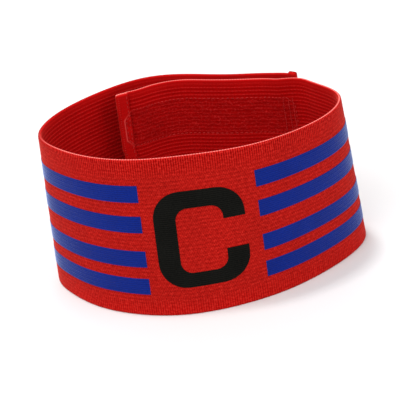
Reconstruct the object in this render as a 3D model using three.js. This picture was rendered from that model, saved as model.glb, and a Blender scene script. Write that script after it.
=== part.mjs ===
// Captain armband: a strip of knitted elastic bent into an oval loop, with its ends overlapping at the
// back on a touch fastener, four printed stripes on each side and a printed letter on the front.
// Millimetres, +Z up. It stands on its lower edge, with the letter facing -Y and the origin under the
// middle of its box.
//
// Every piece is made flat and then bent round the loop. On the flat strip, s runs along it from the
// middle of the letter, positive to the letter's right, n is the height above the outer face and z is
// the height above the lower edge.

import * as THREE from 'three';
import { TessellateModifier } from 'three/addons/modifiers/TessellateModifier.js';

// The elastic strip
const BAND_WIDTH = 70;
const BAND_THICKNESS = 1.5;
const TAIL_REACH = 228;
const TUCK_REACH = 213;
const HEM_THICKNESS = 1.2;
const TAIL_HEM = 4.2;
const TUCK_HEM = 5.8;
const HEM_STEP = 0.4;

// The oval that the strip is bent into, and how far the wall's foot stands out beyond its rim
const LOOP_WIDTH = 135;
const LOOP_DEPTH = 87;
const LEAN = 7.5;

// The touch fastener
const SEAT_GAP = 0.3;
const LOOP_STRIP_THICKNESS = 1.8;
const HOOK_STRIP_THICKNESS = 1.6;
const LOOP_STRIP_LENGTH = 86;
const HOOK_STRIP_LENGTH = 45;
const STRIP_HEIGHT = 20;
const STRIP_EDGE = 7.5;
const STRIP_CHAMFER = 5;
const TUCK_STRIP_EDGE = 2;

// How the inner end steps in behind the tail and springs further in, and how the tail flares out
const STEP_BEFORE_TAIL = 6.5;
const STEP_BEHIND_TAIL = 10;
const TUCK_SPRING = 5.2;
const TUCK_SPRING_RUN = 44;
const TUCK_SPRING_BACK = 2.2;
const TUCK_SPRING_END = 12;
const TAIL_FLARE = 1.5;
const TAIL_FLARE_RUN = 15;

// The print
const FILM_THICKNESS = 0.25;
const STRIPE_HEIGHT = 7.3;
const STRIPE_LENGTH = 88;
const LEFT_CLEARANCE = 5.1;
const RIGHT_CLEARANCE = 6.2;
const LETTER_WIDTH = 38;
const LETTER_HEIGHT = 42.6;
const LETTER_BASE = 12.5;
const LETTER_SIDE_STROKE = 9.2;
const LETTER_TOP_STROKE = 7.6;
const LETTER_FOOT_STROKE = 6.3;
const LETTER_MOUTH = 13.5;
const LETTER_MOUTH_BASE = 15;
const LETTER_CORNER = 11.5;
const LETTER_INNER_CORNER = 5;

// How finely the pieces are divided
const STRIP_STEP = 4;
const LETTER_STEP = 5;
const CORNER_SEGMENTS = 5;
const PATH_SAMPLES = 960;

// Places that the outer face passes at half height, going round from the letter by the left:
// across and deep are shares of the loop's width and depth, footAcross and footDeep are how far the
// foot stands out from the rim there, as shares of the lean.
const LOOP_PLACES = [
  { place: 'letter', across: -0.019, deep: -0.505, footAcross: -0.2, footDeep: -1.12 },
  { place: 'left of the letter', across: -0.193, deep: -0.472, footAcross: -0.3, footDeep: -1.1 },
  { place: 'left front', across: -0.35, deep: -0.344, footAcross: -0.36, footDeep: -0.92 },
  { place: 'left front bend', across: -0.455, deep: -0.172, footAcross: -0.42, footDeep: -0.73 },
  { place: 'left bend', across: -0.497, deep: 0.006, footAcross: -0.5, footDeep: -0.6 },
  { place: 'left back bend', across: -0.441, deep: 0.209, footAcross: -0.4, footDeep: -0.5 },
  { place: 'left back', across: -0.312, deep: 0.387, footAcross: -0.33, footDeep: -0.43 },
  { place: 'crown', across: -0.153, deep: 0.502, footAcross: -0.3, footDeep: -0.3 },
  { place: 'right of the crown', across: 0.008, deep: 0.476, footAcross: -0.25, footDeep: -0.15 },
  { place: 'fastened back', across: 0.17, deep: 0.389, footAcross: 0, footDeep: 0 },
  { place: 'tail', across: 0.334, deep: 0.305, footAcross: 0.3, footDeep: 0.05 },
  { place: 'right back bend', across: 0.433, deep: 0.147, footAcross: 0.7, footDeep: 0.1 },
  { place: 'right bend', across: 0.498, deep: -0.026, footAcross: 0.85, footDeep: 0.1 },
  { place: 'right front bend', across: 0.451, deep: -0.218, footAcross: 0.5, footDeep: 0.05 },
  { place: 'right front', across: 0.316, deep: -0.378, footAcross: 0.2, footDeep: -0.25 },
  { place: 'right of the letter', across: 0.156, deep: -0.481, footAcross: 0, footDeep: -0.65 },
];

// The stripes' middles, as shares of the band's width
const STRIPE_ROWS = [
  { row: 1, middle: 0.79 },
  { row: 2, middle: 0.598 },
  { row: 3, middle: 0.375 },
  { row: 4, middle: 0.196 },
];

// The control values of the smooth closed curve that passes each of the values given, found by
// relaxing them: a uniform cubic curve passes (before + 4 here + after) / 6 at each control value.
function closedCurve(values) {
  const count = values.length;
  const pulls = [...values];
  for (let round = 0; round < 60; round++) {
    for (let i = 0; i < count; i++) {
      pulls[i] = (6 * values[i] - pulls[(i + count - 1) % count] - pulls[(i + 1) % count]) / 4;
    }
  }
  return (u) => {
    const whole = Math.floor(u);
    const f = u - whole;
    const weights = [(1 - f) ** 3, 3 * f ** 3 - 6 * f ** 2 + 4, 3 * (f - f ** 3 + f ** 2) + 1, f ** 3];
    return weights.reduce((sum, w, k) => sum + (w * pulls[(whole - 1 + k + count) % count]) / 6, 0);
  };
}

const acrossAt = closedCurve(LOOP_PLACES.map((p) => p.across * LOOP_WIDTH));
const deepAt = closedCurve(LOOP_PLACES.map((p) => p.deep * LOOP_DEPTH));
const footAcrossAt = closedCurve(LOOP_PLACES.map((p) => p.footAcross * LEAN));
const footDeepAt = closedCurve(LOOP_PLACES.map((p) => p.footDeep * LEAN));

// The loop's length up to each of many even samples, so that s can be turned into a place
const lengthUpTo = [0];
for (let i = 1; i <= PATH_SAMPLES; i++) {
  const [from, to] = [i - 1, i].map((k) => (k * LOOP_PLACES.length) / PATH_SAMPLES);
  const stretch = Math.hypot(acrossAt(to) - acrossAt(from), deepAt(to) - deepAt(from));
  lengthUpTo.push(lengthUpTo[i - 1] + stretch);
}
const LOOP_LENGTH = lengthUpTo[PATH_SAMPLES];

// The places run round by the left, so a positive s counts backwards along them
function placeOf(s) {
  const length = THREE.MathUtils.euclideanModulo(-s, LOOP_LENGTH);
  let low = 0;
  let high = PATH_SAMPLES;
  while (high - low > 1) {
    const middle = (low + high) >> 1;
    if (lengthUpTo[middle] <= length) low = middle;
    else high = middle;
  }
  const share = (length - lengthUpTo[low]) / (lengthUpTo[high] - lengthUpTo[low]);
  return ((low + share) * LOOP_PLACES.length) / PATH_SAMPLES;
}

// The inner end lies behind the tail: the strip steps in by one layer as it passes the tail's end, and
// springs further in where nothing holds it. The tail's own end flares out.
const LAYER_PITCH = BAND_THICKNESS + LOOP_STRIP_THICKNESS + HOOK_STRIP_THICKNESS + 3 * SEAT_GAP;
const TAIL_MEETS = LOOP_LENGTH - TAIL_REACH;
const SPRING_START = TUCK_REACH - TUCK_SPRING_RUN;
const SPRING_FULL = TUCK_REACH - TUCK_SPRING_END;

function insetAt(s) {
  const layer = THREE.MathUtils.smoothstep(s, TAIL_MEETS - STEP_BEFORE_TAIL, TAIL_MEETS + STEP_BEHIND_TAIL);
  const spring = THREE.MathUtils.smoothstep(s, SPRING_START, SPRING_FULL);
  const back = THREE.MathUtils.smoothstep(s, SPRING_FULL, TUCK_REACH);
  const flare = THREE.MathUtils.smoothstep(-s, TAIL_REACH - TAIL_FLARE_RUN, TAIL_REACH);
  return LAYER_PITCH * layer + TUCK_SPRING * spring - TUCK_SPRING_BACK * back - TAIL_FLARE * flare;
}

// Where a point of the flat strip lies once it is bent
function wrap(s, n, z) {
  const u = placeOf(s);
  const before = placeOf(s - 0.5);
  const after = placeOf(s + 0.5);
  const along = new THREE.Vector2(acrossAt(after) - acrossAt(before), deepAt(after) - deepAt(before));
  along.normalize();
  const out = n - insetAt(s);
  const lean = 0.5 - z / BAND_WIDTH;
  const x = acrossAt(u) + footAcrossAt(u) * lean + along.y * out;
  const y = deepAt(u) + footDeepAt(u) * lean - along.x * out;
  return [x, y, z];
}

// A flat geometry lies with X along s, Y into the loop and Z up
function bend(geometry) {
  const position = geometry.attributes.position;
  for (let i = 0; i < position.count; i++) {
    position.setXYZ(i, ...wrap(position.getX(i), -position.getY(i), position.getZ(i)));
  }
  geometry.computeVertexNormals();
  return geometry;
}

function piece(name, geometry, material) {
  const mesh = new THREE.Mesh(geometry, material);
  mesh.name = name;
  return mesh;
}

// A flat piece with a drawn outline: its back is at height n above the outer face
function cutPiece(outline, n, thickness) {
  const plate = new THREE.ExtrudeGeometry(outline, {
    depth: thickness,
    bevelEnabled: false,
    curveSegments: CORNER_SEGMENTS,
  });
  plate.rotateX(Math.PI / 2);
  plate.translate(0, -n, 0);
  return bend(new TessellateModifier(LETTER_STEP, 12).modify(plate));
}

// Columns along a strip: each of the marks, and even steps between them
function columnsThrough(marks) {
  const columns = [marks[0]];
  for (let i = 1; i < marks.length; i++) {
    const steps = Math.ceil((marks[i] - marks[i - 1]) / STRIP_STEP);
    for (let k = 1; k <= steps; k++) {
      columns.push(THREE.MathUtils.lerp(marks[i - 1], marks[i], k / steps));
    }
  }
  return columns;
}

// A straight piece, bent round the loop: sectionAt gives the heights of its edges and of its faces
function stripPiece(columns, sectionAt) {
  const steps = columns.length - 1;
  const blank = new THREE.BoxGeometry(steps, 1, 1, steps, 1, 1);
  blank.translate(steps / 2, 0, 0);
  const position = blank.attributes.position;
  for (let i = 0; i < position.count; i++) {
    const s = columns[Math.round(position.getX(i))];
    const { low, high, inner, outer } = sectionAt(s);
    const n = position.getY(i) > 0 ? inner : outer;
    position.setXYZ(i, s, -n, position.getZ(i) > 0 ? high : low);
  }
  return bend(blank);
}

function inHem(s) {
  return s < -TAIL_REACH + TAIL_HEM + HEM_STEP / 2 || s > TUCK_REACH - TUCK_HEM - HEM_STEP / 2;
}

// The elastic strip: both ends are folded into the loop, which makes them thicker
function band() {
  const tailFold = -TAIL_REACH + TAIL_HEM;
  const tuckFold = TUCK_REACH - TUCK_HEM;
  const marks = [-TAIL_REACH, tailFold, tailFold + HEM_STEP, tuckFold - HEM_STEP, tuckFold, TUCK_REACH];
  return stripPiece(columnsThrough(marks), (s) => ({
    low: 0,
    high: BAND_WIDTH,
    inner: -BAND_THICKNESS - (inHem(s) ? HEM_THICKNESS : 0),
    outer: 0,
  }));
}

// A fastener strip with its corners cut off
function fastenerStrip(from, length, base, inner, thickness) {
  const to = from + length;
  const marks = [from, from + STRIP_CHAMFER, to - STRIP_CHAMFER, to];
  return stripPiece(columnsThrough(marks), (s) => {
    const cut = Math.max(0, STRIP_CHAMFER - Math.min(s - from, to - s));
    return { low: base + cut, high: base + STRIP_HEIGHT - cut, inner, outer: inner + thickness };
  });
}

function stripe(from, middle) {
  return stripPiece(columnsThrough([from, from + STRIPE_LENGTH]), () => ({
    low: middle - STRIPE_HEIGHT / 2,
    high: middle + STRIPE_HEIGHT / 2,
    inner: SEAT_GAP,
    outer: SEAT_GAP + FILM_THICKNESS,
  }));
}

// A plain block letter: two rounded corners on the open side, two on the closed side, and a square
// mouth between the ends of its two arms
function letterOutline() {
  const [left, right] = [-LETTER_WIDTH / 2, LETTER_WIDTH / 2];
  const [base, top] = [LETTER_BASE, LETTER_BASE + LETTER_HEIGHT];
  const r = LETTER_CORNER;
  const q = LETTER_INNER_CORNER;
  const stem = left + LETTER_SIDE_STROKE;
  const tip = right - LETTER_SIDE_STROKE;
  const floor = base + LETTER_FOOT_STROKE;
  const ceiling = top - LETTER_TOP_STROKE;
  const mouthBase = base + LETTER_MOUTH_BASE;
  const mouthTop = mouthBase + LETTER_MOUTH;
  const quarter = Math.PI / 2;
  const letter = new THREE.Shape();
  letter.moveTo(right, mouthTop);
  letter.absarc(right - r, top - r, r, 0, quarter, false);
  letter.absarc(left + r, top - r, r, quarter, 2 * quarter, false);
  letter.absarc(left + r, base + r, r, 2 * quarter, 3 * quarter, false);
  letter.absarc(right - r, base + r, r, 3 * quarter, 4 * quarter, false);
  letter.lineTo(right, mouthBase);
  letter.lineTo(tip, mouthBase);
  letter.absarc(tip - q, floor + q, q, 0, -quarter, true);
  letter.absarc(stem + q, floor + q, q, 3 * quarter, 2 * quarter, true);
  letter.absarc(stem + q, ceiling - q, q, 2 * quarter, quarter, true);
  letter.absarc(tip - q, ceiling - q, q, quarter, 0, true);
  letter.lineTo(tip, mouthTop);
  letter.closePath();
  return letter;
}

const elastic = new THREE.MeshStandardMaterial({ color: 0xb81414, roughness: 0.85, metalness: 0 });
const pile = new THREE.MeshStandardMaterial({ color: 0xa01212, roughness: 0.95, metalness: 0 });
const hooks = new THREE.MeshStandardMaterial({ color: 0x8c1010, roughness: 0.6, metalness: 0 });
const bluePrint = new THREE.MeshStandardMaterial({ color: 0x1b2f94, roughness: 0.5, metalness: 0 });
const blackPrint = new THREE.MeshStandardMaterial({ color: 0x101410, roughness: 0.55, metalness: 0 });

const armband = new THREE.Group();
armband.add(piece('band', band(), elastic));

// The hook strips start behind the tail's hem, and the loop strips end level with them
const hookStart = -TAIL_REACH + TAIL_HEM + HEM_STEP + SEAT_GAP;
const loopEnd = TUCK_REACH - TUCK_STRIP_EDGE;
const stripRows = [
  { row: 'upper', base: BAND_WIDTH - STRIP_EDGE - STRIP_HEIGHT },
  { row: 'lower', base: STRIP_EDGE },
];
const hookInner = -BAND_THICKNESS - SEAT_GAP - HOOK_STRIP_THICKNESS;
for (const { row, base } of stripRows) {
  const loopStart = loopEnd - LOOP_STRIP_LENGTH;
  const loopStrip = fastenerStrip(loopStart, LOOP_STRIP_LENGTH, base, SEAT_GAP, LOOP_STRIP_THICKNESS);
  const hookStrip = fastenerStrip(hookStart, HOOK_STRIP_LENGTH, base, hookInner, HOOK_STRIP_THICKNESS);
  armband.add(piece(`${row}_loop_strip`, loopStrip, pile));
  armband.add(piece(`${row}_hook_strip`, hookStrip, hooks));
}

const sides = [
  { side: 'left', from: -LETTER_WIDTH / 2 - LEFT_CLEARANCE - STRIPE_LENGTH },
  { side: 'right', from: LETTER_WIDTH / 2 + RIGHT_CLEARANCE },
];
for (const { side, from } of sides) {
  for (const { row, middle } of STRIPE_ROWS) {
    armband.add(piece(`${side}_stripe_${row}`, stripe(from, middle * BAND_WIDTH), bluePrint));
  }
}
armband.add(piece('captain_letter', cutPiece(letterOutline(), SEAT_GAP, FILM_THICKNESS), blackPrint));

// The origin goes under the middle of the box that holds every piece
const middle = new THREE.Box3().setFromObject(armband).getCenter(new THREE.Vector3());
armband.position.set(-middle.x, -middle.y, 0);

const group = new THREE.Group();
group.add(armband);

export default group;
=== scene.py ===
"""Looks of the captain armband: ribbed elastic, print, touch fastener, seams and the studio round it.

Each piece is made flat and then bent round the loop, as the solids are. On the flat strip, s runs
along it from the middle of the letter, positive to the letter's right, n is the height above the
outer face, and z is the height above the lower edge. Flat sizes are millimetres. A flat mesh has X
along s, Y into the loop and Z up, so that bending it keeps its faces outwards.
"""

from __future__ import annotations

import logging
import math
from collections.abc import Callable, Iterable, Sequence
from dataclasses import dataclass, field
from enum import Enum

import bmesh
import bpy
import numpy as np
from mathutils import Matrix, Vector

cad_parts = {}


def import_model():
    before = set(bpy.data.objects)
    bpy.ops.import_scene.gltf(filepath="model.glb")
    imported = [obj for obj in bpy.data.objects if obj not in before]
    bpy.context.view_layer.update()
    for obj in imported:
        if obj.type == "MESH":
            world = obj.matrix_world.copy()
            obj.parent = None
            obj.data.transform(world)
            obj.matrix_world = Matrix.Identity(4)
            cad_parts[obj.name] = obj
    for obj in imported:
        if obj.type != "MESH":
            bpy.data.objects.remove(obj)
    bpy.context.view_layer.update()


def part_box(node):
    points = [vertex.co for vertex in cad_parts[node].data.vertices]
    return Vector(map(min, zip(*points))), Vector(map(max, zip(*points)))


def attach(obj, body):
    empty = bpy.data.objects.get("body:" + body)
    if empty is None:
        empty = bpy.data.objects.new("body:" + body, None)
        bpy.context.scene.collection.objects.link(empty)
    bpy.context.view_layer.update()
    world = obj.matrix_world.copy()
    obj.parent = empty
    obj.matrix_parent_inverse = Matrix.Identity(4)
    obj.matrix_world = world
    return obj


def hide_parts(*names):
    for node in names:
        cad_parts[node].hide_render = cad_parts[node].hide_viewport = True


MM = 0.001
TURN = 2 * math.pi
log = logging.getLogger("armband")

Height = Callable[[np.ndarray, np.ndarray], np.ndarray]


class Side(Enum):
    """A side of the letter, as the sign that s has there."""

    LEFT = -1
    RIGHT = 1


class Row(Enum):
    """One of the two rows of touch fastener."""

    UPPER = "upper"
    LOWER = "lower"


class Face(Enum):
    """A face of the elastic, as the direction that it looks in."""

    OUTER = 1
    INNER = -1


def smoothstep(value: np.ndarray, low: float, high: float) -> np.ndarray:
    """A share that climbs smoothly from 0 at low to 1 at high.

    Args:
        value: The numbers to turn into shares.
        low: Where the climb starts.
        high: Where it ends.

    Returns:
        The shares.
    """
    share = np.clip((value - low) / (high - low), 0, 1)
    return share * share * (3 - 2 * share)


@dataclass
class Ripple:
    """Soft uneven waves over the flat strip, the sum of a few plain waves in seeded directions."""

    seed: int
    wave_length: float
    stretch: float = 1.0
    waves: int = 7

    def at(self, s: np.ndarray, z: np.ndarray) -> np.ndarray:
        """How high the waves are.

        Args:
            s: Places along the strip.
            z: Heights above its lower edge.

        Returns:
            Heights, mostly from -1 to 1.
        """
        chance = np.random.default_rng(self.seed)
        total = np.zeros_like(s)
        for _ in range(self.waves):
            angle, start = chance.uniform(0, TURN, 2)
            rate = TURN / (self.wave_length * chance.uniform(0.7, 1.6))
            total += np.sin(rate * (s * math.cos(angle) / self.stretch + z * math.sin(angle)) + start)
        return total / math.sqrt(self.waves)


@dataclass
class OvalLoop:
    """The oval that the elastic strip is bent into, with its ends overlapping at the back."""

    width: float = 135.0
    depth: float = 87.0
    band_width: float = 70.0
    lean: float = 7.5
    tail_reach: float = 228.0
    tuck_reach: float = 213.0
    layer_pitch: float = 5.8
    run_in: float = 6.5
    run_out: float = 10.0
    flare: float = 1.5
    flare_run: float = 15.0
    spring: float = 5.2
    spring_run: float = 44.0
    spring_back: float = 2.2
    spring_end: float = 12.0
    strip_thickness: float = 1.5
    samples: int = 960
    smoothing_rounds: int = 60
    probe: float = 0.5
    # Places that the outer face passes at half height, going round from the letter by the left: its
    # share of the width and of the depth, and how far the foot stands out, as shares of the lean.
    places: tuple[tuple[float, float, float, float], ...] = (
        (-0.019, -0.505, -0.2, -1.12),
        (-0.193, -0.472, -0.3, -1.1),
        (-0.35, -0.344, -0.36, -0.92),
        (-0.455, -0.172, -0.42, -0.73),
        (-0.497, 0.006, -0.5, -0.6),
        (-0.441, 0.209, -0.4, -0.5),
        (-0.312, 0.387, -0.33, -0.43),
        (-0.153, 0.502, -0.3, -0.3),
        (0.008, 0.476, -0.25, -0.15),
        (0.17, 0.389, 0.0, 0.0),
        (0.334, 0.305, 0.3, 0.05),
        (0.433, 0.147, 0.7, 0.1),
        (0.498, -0.026, 0.85, 0.1),
        (0.451, -0.218, 0.5, 0.05),
        (0.316, -0.378, 0.2, -0.25),
        (0.156, -0.481, 0.0, -0.65),
    )

    def __post_init__(self) -> None:
        """Make the curves through the places, the table of lengths and the shift to the frame."""
        shares = np.array(self.places).T
        sizes = (self.width, self.depth, self.lean, self.lean)
        self._curves = [self._closed_curve(row * size) for row, size in zip(shares, sizes)]
        self._turns = np.linspace(0, len(self.places), self.samples + 1)
        across, deep = (curve(self._turns) for curve in self._curves[:2])
        self._lengths = np.concatenate([[0], np.cumsum(np.hypot(np.diff(across), np.diff(deep)))])
        self.length = float(self._lengths[-1])
        self.shift = np.zeros(3)
        s = np.linspace(-self.tail_reach, self.tuck_reach, self.samples)
        edges = [self.bend(np.stack([s, np.full_like(s, y), np.full_like(s, z)], 1))
                 for y in (0, self.strip_thickness) for z in (0, self.band_width)]
        raw = np.concatenate(edges)
        low, high = (np.array(corner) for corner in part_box("band"))
        self.shift = (low + high) / 2 - (raw.min(0) + raw.max(0)) / 2

    def _closed_curve(self, values: np.ndarray) -> Callable[[np.ndarray], np.ndarray]:
        """The smooth closed curve that passes each of the values.

        Args:
            values: The numbers to pass, one for each place.

        Returns:
            A function from a turn, in places, to the curve's value there.
        """
        pulls = values.copy()
        for _ in range(self.smoothing_rounds):
            pulls = (6 * values - np.roll(pulls, 1) - np.roll(pulls, -1)) / 4

        def curve(u: np.ndarray) -> np.ndarray:
            """Follow the curve.

            Args:
                u: Turns, in places.

            Returns:
                The curve's value at each turn.
            """
            whole = np.floor(u).astype(int)
            f = u - whole
            weights = ((1 - f) ** 3, 3 * f**3 - 6 * f**2 + 4, 3 * (f - f**3 + f**2) + 1, f**3)
            return sum(w * pulls[(whole - 1 + k) % len(pulls)] for k, w in enumerate(weights)) / 6

        return curve

    def _turn_of(self, s: np.ndarray) -> np.ndarray:
        """The turn, in places, at each s: a positive s counts backwards along the places."""
        return np.interp(np.mod(-s, self.length), self._lengths, self._turns)

    def inset(self, s: np.ndarray) -> np.ndarray:
        """How far the strip lies into the loop: its inner end steps in behind the tail and springs
        further in at its very end, and the tail's end flares out.

        Args:
            s: Places along the strip.

        Returns:
            Depths, negative outwards.
        """
        meets = self.length - self.tail_reach
        layer = smoothstep(s, meets - self.run_in, meets + self.run_out)
        straight = self.tuck_reach - self.spring_end
        spring = self.spring * smoothstep(s, self.tuck_reach - self.spring_run, straight)
        back = self.spring_back * smoothstep(s, straight, self.tuck_reach)
        flare = smoothstep(-s, self.tail_reach - self.flare_run, self.tail_reach)
        return self.layer_pitch * layer + spring - back - self.flare * flare

    def bend(self, flat: np.ndarray) -> np.ndarray:
        """Where points of the flat strip lie once it is bent.

        Args:
            flat: Rows of s, depth into the loop and z, in millimetres.

        Returns:
            Rows of X, Y and Z in the frame, in metres.
        """
        s, inward, z = flat.T
        across, deep, foot_across, foot_deep = (curve(self._turn_of(s)) for curve in self._curves)
        before, after = self._turn_of(s - self.probe), self._turn_of(s + self.probe)
        along_x, along_y = (curve(after) - curve(before) for curve in self._curves[:2])
        stretch = np.hypot(along_x, along_y)
        out = (-inward - self.inset(s)) / stretch
        lean = 0.5 - z / self.band_width
        x = across + foot_across * lean + along_y * out
        y = deep + foot_deep * lean - along_x * out
        return np.stack([x, y, z], 1) * MM + self.shift


@dataclass
class Elastic:
    """The ribbed elastic as cloth: its thickness, ribs, hems and unevenness, and its two faces."""

    loop: OvalLoop
    thickness: float = 1.5
    ribs: int = 39
    outer_rib: float = 0.022
    inner_rib: float = 0.065
    plain_edge: float = 2.6
    plain_fade: float = 1.2
    plain_lead: float = 0.8
    unevenness: float = 0.132
    hem_fold: float = 1.2
    tail_hem: float = 4.2
    tuck_hem: float = 5.8
    hem_step: float = 0.7
    strip_height: float = 20.0
    strip_edge: float = 7.5
    strip_chamfer: float = 5.0
    loop_strip_length: float = 86.0
    hook_strip_length: float = 45.0
    tuck_strip_edge: float = 2.0
    seam_reach: float = 8.0
    sewn_start: float = 0.2
    sewn_full: float = 2.5
    pucker: float = 0.16
    hem_ridge: float = 0.4
    ridge_inset: float = 0.3
    ridge_width: float = 0.26
    ridge_fade: float = 0.65
    ridge_fade_run: float = 1.5
    hem_slip: float = 0.8
    slip_run: float = 3.0
    slip_end: float = 0.5
    waver_depth: float = 0.3
    sewn_rib: float = 0.5
    sway: Ripple = field(default_factory=lambda: Ripple(seed=3, wave_length=42, stretch=0.8))
    crumple: Ripple = field(default_factory=lambda: Ripple(seed=8, wave_length=4.6))
    jitter: Ripple = field(default_factory=lambda: Ripple(seed=13, wave_length=2.6, stretch=1.2))

    def sewn(self, s: np.ndarray, z: np.ndarray) -> np.ndarray:
        """1 where the cloth is sewn down on a fastener strip, 0 elsewhere."""
        spans = self.loop_seam_span(), self.hook_strip_span()
        inside = np.maximum(*(self.inside_strip(s, z, span) for span in spans))
        return smoothstep(inside, self.sewn_start, self.sewn_full)

    def waver(self, s: np.ndarray, z: np.ndarray) -> np.ndarray:
        """How far the ribs wander up or down where the cloth is sewn on a fastener strip."""
        return self.waver_depth * self.sewn(s, z) * self.jitter.at(s, z)

    def rib(self, s: np.ndarray, z: np.ndarray) -> np.ndarray:
        """The ribs' wave, 1 on a crest and -1 in a groove."""
        return np.cos(TURN * self.ribs * (z + self.waver(s, z)) / self.loop.band_width)

    def tail_fold(self) -> tuple[float, float]:
        """Where the tail's hem ends and has run out."""
        fold = self.tail_hem - self.loop.tail_reach
        return fold, fold + self.hem_step

    def tuck_fold(self) -> tuple[float, float]:
        """Where the inner end's hem starts and is full."""
        fold = self.loop.tuck_reach - self.tuck_hem
        return fold - self.hem_step, fold

    def in_hem(self, s: np.ndarray) -> np.ndarray:
        """1 where the strip's end is folded over, 0 elsewhere."""
        return 1 - smoothstep(s, *self.tail_fold()) + smoothstep(s, *self.tuck_fold())

    def plain(self, z: np.ndarray) -> np.ndarray:
        """1 along both edges of the inner face, where it has no ribs, 0 elsewhere."""
        half = self.loop.band_width / 2
        start = half - self.plain_edge - self.plain_lead
        return smoothstep(np.abs(z - half), start, start + self.plain_fade)

    def strip_end(self, s: np.ndarray, z: np.ndarray) -> np.ndarray:
        """The line that the fastener strips' end presses through the hem.

        Args:
            s: Places along the strip.
            z: Heights above its lower edge.

        Returns:
            1 on the line, less on the cut corners, 0 elsewhere.
        """
        inner = self.inside_strip(s, z, self.loop_strip_span())
        straight = self.strip_height / 2 - self.strip_chamfer
        bases = (self.strip_base(row) + self.strip_height / 2 for row in Row)
        apart = np.minimum(*(np.abs(z - base) for base in bases))
        line = np.exp(-((inner - self.ridge_inset) / self.ridge_width) ** 2)
        fade = self.ridge_fade * smoothstep(apart, straight, straight + self.ridge_fade_run)
        return line * (1 - fade) * smoothstep(s, *self.tuck_fold())

    def slip(self, s: np.ndarray, z: np.ndarray) -> np.ndarray:
        """How far the inner end's fold is drawn in below the upper fastener strips.

        Args:
            s: Places along the strip.
            z: Heights above its lower edge.

        Returns:
            Distances along the strip.
        """
        high = self.strip_base(Row.UPPER) + self.slip_end
        below = 1 - smoothstep(z, high - self.slip_run, high)
        return self.hem_slip * smoothstep(s, *self.tuck_fold()) * below

    def strip_base(self, row: Row) -> float:
        """The lower edge of one row of the touch fastener.

        Args:
            row: Which row.

        Returns:
            Its height z.
        """
        if row is Row.LOWER:
            return self.strip_edge
        return self.loop.band_width - self.strip_edge - self.strip_height

    def loop_strip_span(self) -> tuple[float, float]:
        """Where the loop strips start and end along the band."""
        end = self.loop.tuck_reach - self.tuck_strip_edge
        return end - self.loop_strip_length, end

    def loop_seam_span(self) -> tuple[float, float]:
        """Where the loop strips' seam starts, a little past them, and ends."""
        start, end = self.loop_strip_span()
        return start - self.seam_reach, end

    def hook_strip_span(self) -> tuple[float, float]:
        """Where the hook strips start and end along the band."""
        start = self.tail_hem + self.hem_step - self.loop.tail_reach
        return start, start + self.hook_strip_length

    def inside_strip(self, s: np.ndarray, z: np.ndarray, span: tuple[float, float]) -> np.ndarray:
        """How far each place lies inside the outline of the fastener strips with that span.

        Args:
            s: Places along the strip.
            z: Heights above its lower edge.
            span: Where the fastener strips start and end.

        Returns:
            Distances from the nearer outline, negative outside it.
        """
        depths = []
        for row in Row:
            base = self.strip_base(row)
            along = np.minimum(s - span[0], span[1] - s)
            up = np.minimum(z - base, base + self.strip_height - z)
            corner = (along + up - self.strip_chamfer) / math.sqrt(2)
            depths.append(np.minimum(np.minimum(along, up), corner))
        return np.maximum(*depths)

    def drift(self, s: np.ndarray, z: np.ndarray) -> np.ndarray:
        """How far the whole thickness of the cloth lies out of its even curve."""
        return (self.unevenness * self.sway.at(s, z)
                + self.pucker * self.sewn(s, z) * self.crumple.at(s, z)
                - self.hem_ridge * self.strip_end(s, z))

    def height(self, s: np.ndarray, z: np.ndarray, face: Face) -> np.ndarray:
        """How high a face of the cloth lies above the even outer face.

        Args:
            s: Places along the strip.
            z: Heights above its lower edge.
            face: Which face.

        Returns:
            Heights n.
        """
        if face is Face.OUTER:
            return self.drift(s, z) + self.outer_rib * self.rib(s, z)
        folded = self.thickness + self.hem_fold * self.in_hem(s)
        ribbed = (1 - self.sewn_rib * self.sewn(s, z)) * (1 - 0.8 * self.in_hem(s)) * (1 - self.plain(z))
        return self.drift(s, z) - folded - self.inner_rib * ribbed * self.rib(s, z)


class Socket:
    """An output socket that takes part in shader maths."""

    def __init__(self, shader: Shader, socket: bpy.types.NodeSocket) -> None:
        """Wrap a socket of a shader's tree."""
        self.shader = shader
        self.socket = socket

    def _math(self, operation: str, *others: Socket | float, first: bool = True) -> Socket:
        """Add a Math node.

        Args:
            operation: The node's operation.
            others: Its other values.
            first: Whether this socket is the first value, or the second.

        Returns:
            The node's output.
        """
        values = [self, *others] if first else [*others, self]
        made = self.shader.node("ShaderNodeMath", {"operation": operation}, dict(enumerate(values)))
        return Socket(self.shader, made.outputs[0])

    def __add__(self, other: Socket | float) -> Socket:
        """This and the other."""
        return self._math("ADD", other)

    __radd__ = __add__

    def __sub__(self, other: Socket | float) -> Socket:
        """This less the other."""
        return self._math("SUBTRACT", other)

    def __rsub__(self, other: Socket | float) -> Socket:
        """The other less this."""
        return self._math("SUBTRACT", other, first=False)

    def __mul__(self, other: Socket | float) -> Socket:
        """This times the other."""
        return self._math("MULTIPLY", other)

    __rmul__ = __mul__

    def __truediv__(self, other: Socket | float) -> Socket:
        """This over the other."""
        return self._math("DIVIDE", other)

    def cosine(self) -> Socket:
        """The cosine of an angle."""
        return self._math("COSINE")

    def wave(self, pitch: float) -> Socket:
        """A wave of 0 to 1 with a crest at each multiple of the pitch."""
        return (self * (TURN / pitch)).cosine() * 0.5 + 0.5

    def smooth(self, low: float, high: float) -> Socket:
        """A share that climbs smoothly from 0 at low to 1 at high."""
        made = self.shader.node(
            "ShaderNodeMapRange", {"interpolation_type": "SMOOTHSTEP"},
            {"Value": self, "From Min": low, "From Max": high})
        return Socket(self.shader, made.outputs["Result"])


Setting = str | bool | int | float
SocketValue = Socket | float | tuple[float, ...]


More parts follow.
